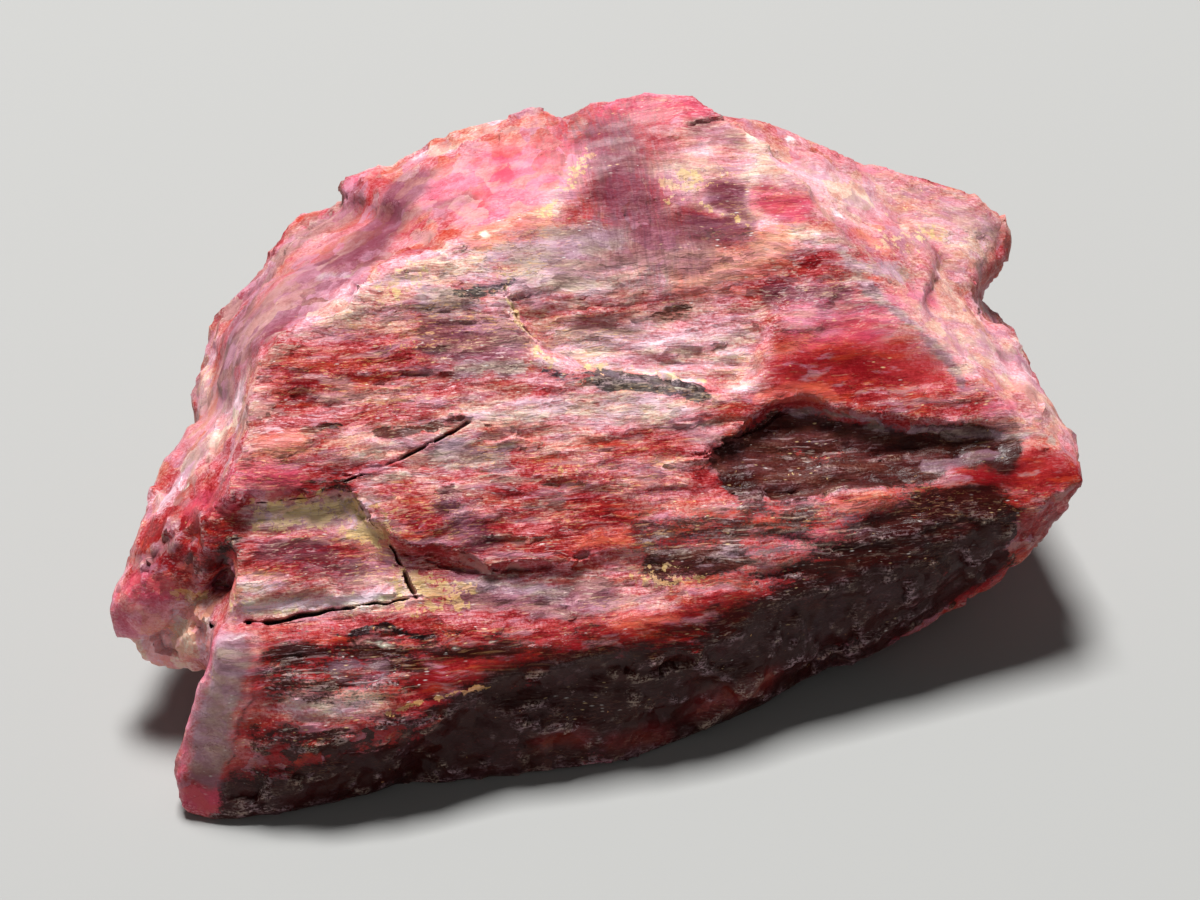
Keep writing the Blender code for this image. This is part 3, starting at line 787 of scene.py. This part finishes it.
# %% Shader maths
class Wire:
    """A socket that takes part in sums."""

    def __init__(self, graph, socket):
        self.graph = graph
        self.socket = socket

    def sum(self, operation, first, second):
        return self.graph.node("ShaderNodeMath", {"operation": operation}, {0: first, 1: second})

    def __add__(self, other):
        return self.sum("ADD", self, other)

    def __radd__(self, other):
        return self.sum("ADD", other, self)

    def __sub__(self, other):
        return self.sum("SUBTRACT", self, other)

    def __rsub__(self, other):
        return self.sum("SUBTRACT", other, self)

    def __mul__(self, other):
        return self.sum("MULTIPLY", self, other)

    def __rmul__(self, other):
        return self.sum("MULTIPLY", other, self)

    def __abs__(self):
        return self.graph.node("ShaderNodeMath", {"operation": "ABSOLUTE"}, {0: self})


class Graph:
    """The nodes of one material."""

    def __init__(self, name):
        self.material = bpy.data.materials.new(name)
        self.material.use_nodes = True
        self.nodes = self.material.node_tree.nodes
        self.links = self.material.node_tree.links
        self.shader = self.nodes["Principled BSDF"]

    def node(self, kind, settings=None, inputs=None, output=0):
        """Adds a node: its settings first, then its sockets' values or wires."""
        made = self.nodes.new(kind)
        for name, value in (settings or {}).items():
            if name == "stops":
                self.set_stops(made.color_ramp, value)
            else:
                setattr(made, name, value)
        for name, value in (inputs or {}).items():
            self.feed(made.inputs[name], value)
        return Wire(self, made.outputs[output])

    def feed(self, socket, value):
        """Links a wire to a socket, or sets its value."""
        if isinstance(value, Wire):
            self.links.new(value.socket, socket)
        else:
            socket.default_value = value

    @staticmethod
    def set_stops(ramp_data, stops):
        while len(ramp_data.elements) > 1:
            ramp_data.elements.remove(ramp_data.elements[-1])
        for index, (place, color) in enumerate(stops):
            stop = ramp_data.elements[0] if index == 0 else ramp_data.elements.new(place)
            stop.position = place
            stop.color = color

    def mix(self, first, second, share):
        """A colour between two colours."""
        return self.node("ShaderNodeMix", {"data_type": "RGBA"}, {0: share, 6: first, 7: second}, 2)

    def band(self, value, low, high):
        """0 below low, 1 above high, with a soft curve between."""
        settings = {"interpolation_type": "SMOOTHSTEP"}
        return self.node("ShaderNodeMapRange", settings, {0: value, 1: low, 2: high})

    def level(self, name):
        """A number stored on the points."""
        return self.node("ShaderNodeAttribute", {"attribute_name": name}, {}, 2)

    def vector(self, operation, first, second, output=0):
        return self.node("ShaderNodeVectorMath", {"operation": operation}, {0: first, 1: second}, output)

    def parts(self, color):
        """The three numbers of a colour."""
        split = self.node("ShaderNodeSeparateColor", {}, {0: color})
        return [Wire(self, socket) for socket in split.socket.node.outputs]


def srgb(red, green, blue):
    """A screen colour, 0 to 255, as the linear colour that a shader needs."""
    shares = [value / 255.0 for value in (red, green, blue)]
    return (*(((share + 0.055) / 1.055) ** 2.4 if share > 0.04 else share / 12.92 for share in shares), 1.0)


# %% [markdown]
# The streaks run along the grain, so the noise is stretched that way: its space is turned to
# the grain's three directions first, then squeezed across them. A slow noise bends it, since
# no fibre is straight. Off the broad face the pattern is even, like broken sugar.

# %% Patterns of the rhodonite
rhodonite = Graph("rhodonite")
g = rhodonite
place = g.node("ShaderNodeTexCoord", output="Object")
in_mm = g.vector("MULTIPLY", place, (1.0 / MM,) * 3)
turned = g.node("ShaderNodeCombineXYZ", {}, {
    number: g.vector("DOT_PRODUCT", in_mm, tuple(direction), "Value")
    for number, direction in enumerate((ALONG, UP, OUT))
})
bend = g.node("ShaderNodeTexNoise", {}, {"Vector": in_mm, "Scale": 0.4, "Detail": 2.0}, "Color")
bend = g.vector("MULTIPLY", g.vector("SUBTRACT", bend, (0.5,) * 3), (0.6, 0.6, 0.6))
bent = g.vector("ADD", turned, bend)


def streaks(length, width, detail=4.0, rough=0.6):
    """Three fields of noise in long streaks: length and width in mm."""
    squeezed = g.vector("MULTIPLY", bent, (1.0 / length, 1.0 / width, 1.0 / width))
    inputs = {"Vector": squeezed, "Scale": 1.0, "Detail": detail, "Roughness": rough}
    return g.parts(g.node("ShaderNodeTexNoise", {}, inputs, "Color"))


def grains(size, detail=4.0, rough=0.6):
    """Three fields of noise in even grains of a size in mm."""
    inputs = {"Vector": in_mm, "Scale": 1.0 / size, "Detail": detail, "Roughness": rough}
    return g.parts(g.node("ShaderNodeTexNoise", {}, inputs, "Color"))


broad_face = g.level("broad")
clear = g.level("clear")
clouds = streaks(4.5, 1.8, 2.0)
fibres_of_color = streaks(1.7, 0.42)
hairs = streaks(0.42, 0.07, 2.0, 0.65)
lines = streaks(2.4, 0.10, 3.0)
sand = grains(0.11, 2.0, 0.7)
lace = grains(0.38, 4.0, 0.65)
upright = g.parts(g.node("ShaderNodeTexNoise", {}, {
    "Vector": g.vector("MULTIPLY", bent, (1.0 / 0.13, 1.0 / 1.5, 1.0 / 0.5)), "Scale": 1.0, "Detail": 3.0,
}, "Color"))
jitter = g.node("ShaderNodeTexNoise", {}, {"Vector": in_mm, "Scale": 1.3, "Detail": 3.0}, "Color")
jitter = g.vector("ADD", in_mm, g.vector("MULTIPLY", jitter, (0.9,) * 3))
mosaic = g.parts(g.node("ShaderNodeTexVoronoi", {}, {"Vector": jitter, "Scale": 1.0 / 0.95}, "Color"))
blotches = [0.32 * tile + 0.65 * speckle for tile, speckle in zip(mosaic, grains(0.6))]
striped = g.level("striped")
fibrous_part = broad_face * (1.0 - 0.8 * striped)
middle = [blotch + (fibre - blotch) * fibrous_part for fibre, blotch in zip(fibres_of_color, blotches)]
lined = g.level("lined")
threads = [
    hair + (stripe - hair) * striped + (line - hair) * lined
    for hair, stripe, line in zip(hairs, upright, lines)
]
fine = [0.5 * thread + 0.5 * grain_of_sand for thread, grain_of_sand in zip(threads, sand)]
quiet = 1.0 - 0.65 * clear


RAGGED_EDGE = 0.195


def stain(name, field, softness):
    """Where a stain shows: its level, eaten into along the fibres."""
    ragged = quiet * (0.5 * (middle[field] - 0.5) + 0.4 * (fine[field] - 0.5)) + 0.44 * g.level(name)
    return g.band(ragged, RAGGED_EDGE - softness, RAGGED_EDGE + softness)


print("patterns of", len(g.nodes), "nodes")

# %% [markdown]
# The body colour runs from clear red to crushed near-white, and turns orange or mauve in
# places. Each stain is laid over it with its own light and dark. White and golden flakes of
# painted glint, dark hairlines, painted shade in the hollows and cracks, and a few painted
# glints come last.

# %% Rhodonite
CLEAR_RED = srgb(140, 18, 24)
RED = srgb(178, 52, 52)
SALMON = srgb(198, 106, 106)
ROSE = srgb(226, 160, 158)
CRUSHED = srgb(248, 216, 212)
ORANGE_RED = srgb(200, 64, 42)
PINK_DEEP = srgb(208, 76, 96)
PINK = srgb(241, 162, 174)
CORAL_DEEP = srgb(210, 88, 72)
CORAL = srgb(244, 156, 136)
MAUVE_DEEP = srgb(104, 52, 68)
MAUVE = srgb(190, 138, 148)
GREY_DEEP = srgb(126, 92, 98)
GREY = srgb(212, 186, 188)
UMBER_DEEP = srgb(38, 8, 5)
UMBER = srgb(98, 42, 34)
BLACK = srgb(16, 13, 14)
OXIDE = srgb(100, 90, 92)
OCHRE_DEEP = srgb(206, 154, 100)
OCHRE = srgb(246, 212, 166)
GOLD = srgb(236, 178, 124)
CHALK_AND_PAINTED_LIGHT = srgb(255, 248, 244)
WHITE_GLINT = srgb(255, 246, 242)
GOLD_GLINT = srgb(255, 216, 160)

tone = 0.49 + 0.34 * g.level("pale") - 0.30 * g.level("deep") + 0.6 * (clouds[0] - 0.5)
tone = tone + quiet * ((0.85 - 0.35 * lined) * (middle[0] - 0.5) + (1.4 + 0.5 * lined) * (fine[0] - 0.5))
color = g.node("ShaderNodeValToRGB", {"stops": [
    (0.10, CLEAR_RED), (0.30, RED), (0.48, SALMON), (0.68, ROSE), (0.92, CRUSHED),
]}, {0: tone})
color = g.mix(color, ORANGE_RED, 0.5 * g.band(middle[1], 0.55, 0.66) * (1.0 - g.level("pale")))
color = g.mix(color, MAUVE, 0.6 * g.band(middle[2], 0.52, 0.64))
lift = 0.16 * g.level("pale") - 0.24 * g.level("deep")
light_part = g.band(0.6 * quiet * (fine[1] - 0.5) + 0.6 * (middle[2] - 0.5) + lift, -0.18, 0.20)
color = g.mix(color, g.mix(PINK_DEEP, PINK, light_part), 0.85 * stain("pink", 1, 0.07))
color = g.mix(color, g.mix(CORAL_DEEP, CORAL, light_part), 0.8 * stain("coral", 2, 0.06))
color = g.mix(color, g.mix(MAUVE_DEEP, MAUVE, light_part), 0.8 * stain("mauve", 1, 0.12))
umber_share = 0.95 * stain("umber", 0, 0.05) * (1.0 - 0.7 * g.level("coral"))
color = g.mix(color, g.mix(UMBER_DEEP, UMBER, light_part), umber_share)
color = g.mix(color, g.mix(GREY_DEEP, GREY, light_part), 0.8 * stain("grey", 0, 0.09))
color = g.mix(color, g.mix(BLACK, OXIDE, light_part), 0.95 * stain("black", 0, 0.035))
crust = g.band(0.8 * lace[2] + 0.2 * sand[2] + 0.25 * g.level("ochre"), 0.67, 0.70)
color = g.mix(color, g.mix(OCHRE_DEEP, OCHRE, light_part), 0.85 * crust)
# white is chalky patches, and painted highlights and painted light where the white strokes lie
chalk_and_painted_light = g.band(g.level("white") + 0.5 * (fine[0] - 0.5), 0.25, 0.85)
color = g.mix(color, CHALK_AND_PAINTED_LIGHT, 0.9 * chalk_and_painted_light)

# painted glints: white and golden flakes along the fibres
glint_flake = g.band(0.8 * threads[2] + 0.2 * middle[0], 0.555, 0.61) * broad_face * quiet
for name, loss in {"striped": 0.8, "umber": 0.7, "deep": 0.45, "black": 0.6}.items():
    glint_flake = glint_flake * (1.0 - loss * g.level(name))
glint_flake_color = g.mix(CRUSHED, GOLD, g.band(clouds[1], 0.45, 0.60))
color = g.mix(color, glint_flake_color, 0.6 * glint_flake)
stripe = g.band(upright[0], 0.46, 0.60) * striped
color = g.mix(color, MAUVE_DEEP, 0.45 * stripe)
hairline = 1.0 - g.band(abs(fibres_of_color[1] - 0.5), 0.003, 0.014)
color = g.mix(color, UMBER, 0.5 * hairline * g.band(clouds[1], 0.50, 0.60))
# painted shade: hollows are darkened
color = g.mix(color, UMBER_DEEP, 0.35 * g.level("hollow") * g.band(fine[0], 0.36, 0.52))
color = g.mix(color, CRUSHED, 0.4 * g.level("edge") * g.band(fine[1], 0.46, 0.58) * quiet)
# painted shade inside the cracks, which are too narrow for the skin to shade well
color = g.mix(color, UMBER_DEEP, 0.8 * g.level("crack"))

tint = g.mix((1.0, 0.90, 1.06, 1.0), (1.0, 1.04, 0.86, 1.0), g.band(middle[1], 0.38, 0.62))
color = g.vector("MULTIPLY", color, tint)

# painted glints: tiny white and golden specks on the broad face
cell_space = {"Vector": g.vector("MULTIPLY", bent, (1.0 / 0.36, 1.0 / 0.11, 1.0 / 0.11)), "Scale": 1.0}
speck = g.node("ShaderNodeTexVoronoi", {}, cell_space, "Distance")
chance = g.parts(g.node("ShaderNodeTexVoronoi", {}, cell_space, "Color"))
glint = 1.0 - g.band(speck, 0.03, 0.08 + 0.34 * chance[1])
glint = glint * g.band(chance[0], 0.62, 0.66) * g.band(clouds[2], 0.42, 0.58)
glint_color = g.mix(WHITE_GLINT, GOLD_GLINT, g.band(chance[2], 0.45, 0.55))
color = g.mix(color, glint_color, 0.85 * glint * broad_face)
g.feed(g.shader.inputs["Base Color"], color)
print("colour of", len(g.nodes), "nodes")

# %% [markdown]
# The gloss is glassy where the crystal is sound and dull on the crusts. The bump is made of
# tiny facets, each tilted its own way, so the stone sparkles as it turns in the light.

# %% Gloss and facets
def facets(space, length, width):
    """Height of small flat facets in mm, for facets of that size in mm."""
    squeeze = (1.0 / length, 1.0 / width, 1.0 / width)
    stretch = (length, width, width)
    squeezed = g.vector("MULTIPLY", space, squeeze)
    inputs = {"Vector": squeezed, "Scale": 1.0}
    middle_of_cell = g.node("ShaderNodeTexVoronoi", {}, inputs, "Position")
    way = g.vector("SUBTRACT", g.node("ShaderNodeTexVoronoi", {}, inputs, "Color"), (0.5,) * 3)
    offset = g.vector("MULTIPLY", g.vector("SUBTRACT", squeezed, middle_of_cell), stretch)
    return g.vector("DOT_PRODUCT", way, offset, "Value")


height = 0.5 * facets(bent, 0.55, 0.14) * broad_face + 0.4 * facets(in_mm, 0.45, 0.45) * (1.0 - broad_face)
height = height + 0.03 * (hairs[0] - 0.5) * broad_face + 0.018 * (sand[0] - 0.5)
bump = g.node("ShaderNodeBump", {}, {"Height": height * quiet * MM, "Strength": 1.0, "Distance": 1.0})
g.feed(g.shader.inputs["Normal"], bump)
gloss = 0.36 - 0.06 * clear + 0.3 * crust + 0.1 * light_part
gloss = gloss + 0.12 * g.level("pale") + 0.25 * g.level("mauve")
g.feed(g.shader.inputs["Roughness"], gloss)
g.feed(g.shader.inputs["Coat Weight"], 0.12 * clear)
g.shader.inputs["Coat Roughness"].default_value = 0.22
g.shader.inputs["IOR"].default_value = 1.5
g.shader.inputs["Specular IOR Level"].default_value = 0.18
stone.data.materials.clear()
stone.data.materials.append(rhodonite.material)
print("rhodonite of", len(g.nodes), "nodes")

# %% [markdown]
# The stone stands on a sheet of pale matt paper, large enough to fill the view from any side.

# %% Floor
PAPER = (0.38, 0.38, 0.37, 1.0)
PAPER_WIDE = 3.0

bpy.ops.object.select_all(action="DESELECT")
bpy.ops.mesh.primitive_plane_add(size=PAPER_WIDE, location=(0.0, 0.0, 0.0))
floor = bpy.context.object
floor.name = "floor"
paper = bpy.data.materials.new("paper")
paper.use_nodes = True
matt = paper.node_tree.nodes["Principled BSDF"]
matt.inputs["Base Color"].default_value = PAPER
matt.inputs["Roughness"].default_value = 0.9
floor.data.materials.append(paper)
print("paper", PAPER_WIDE, "m wide")

# %% [markdown]
# A mineral is best seen in soft light, because a small lamp would burn white spots into its
# gloss. A square softbox above and a little behind lights the upper faces, so the ledges
# throw short shadows forwards. A weak one fills the front, and a faint white sky the rest.


# %% Light
def softbox(name, place, size, power):
    """A square lamp that faces the stone."""
    lamp = bpy.data.lights.new(name, "AREA")
    lamp.shape = "SQUARE"
    lamp.size = size
    lamp.energy = power
    holder = bpy.data.objects.new(name, lamp)
    holder.location = place
    holder.rotation_mode = "QUATERNION"
    holder.rotation_quaternion = (-Vector(place)).to_track_quat("-Z", "Y")
    bpy.context.scene.collection.objects.link(holder)


# name: place, size and power, in metres and watts
LAMPS = {
    "key": ((-0.06, 0.17, 0.55), 0.16, 5.6),
    "fill": ((-0.25, -0.70, 0.35), 0.5, 0.35),
}
SKY_STRENGTH = 0.08

for name, (place, size, power) in LAMPS.items():
    softbox(name, place, size, power)
sky = bpy.data.worlds.new("sky")
bpy.context.scene.world = sky
sky.use_nodes = True
sky.node_tree.nodes["Background"].inputs["Color"].default_value = (1.0, 1.0, 1.0, 1.0)
sky.node_tree.nodes["Background"].inputs["Strength"].default_value = SKY_STRENGTH
bpy.context.scene.view_settings.view_transform = "Standard"
print("lit by", len(LAMPS), "lamps and a sky")

# %% [markdown]
# Last, the scene is brought up to date.

# %% Finish
bpy.context.view_layer.update()
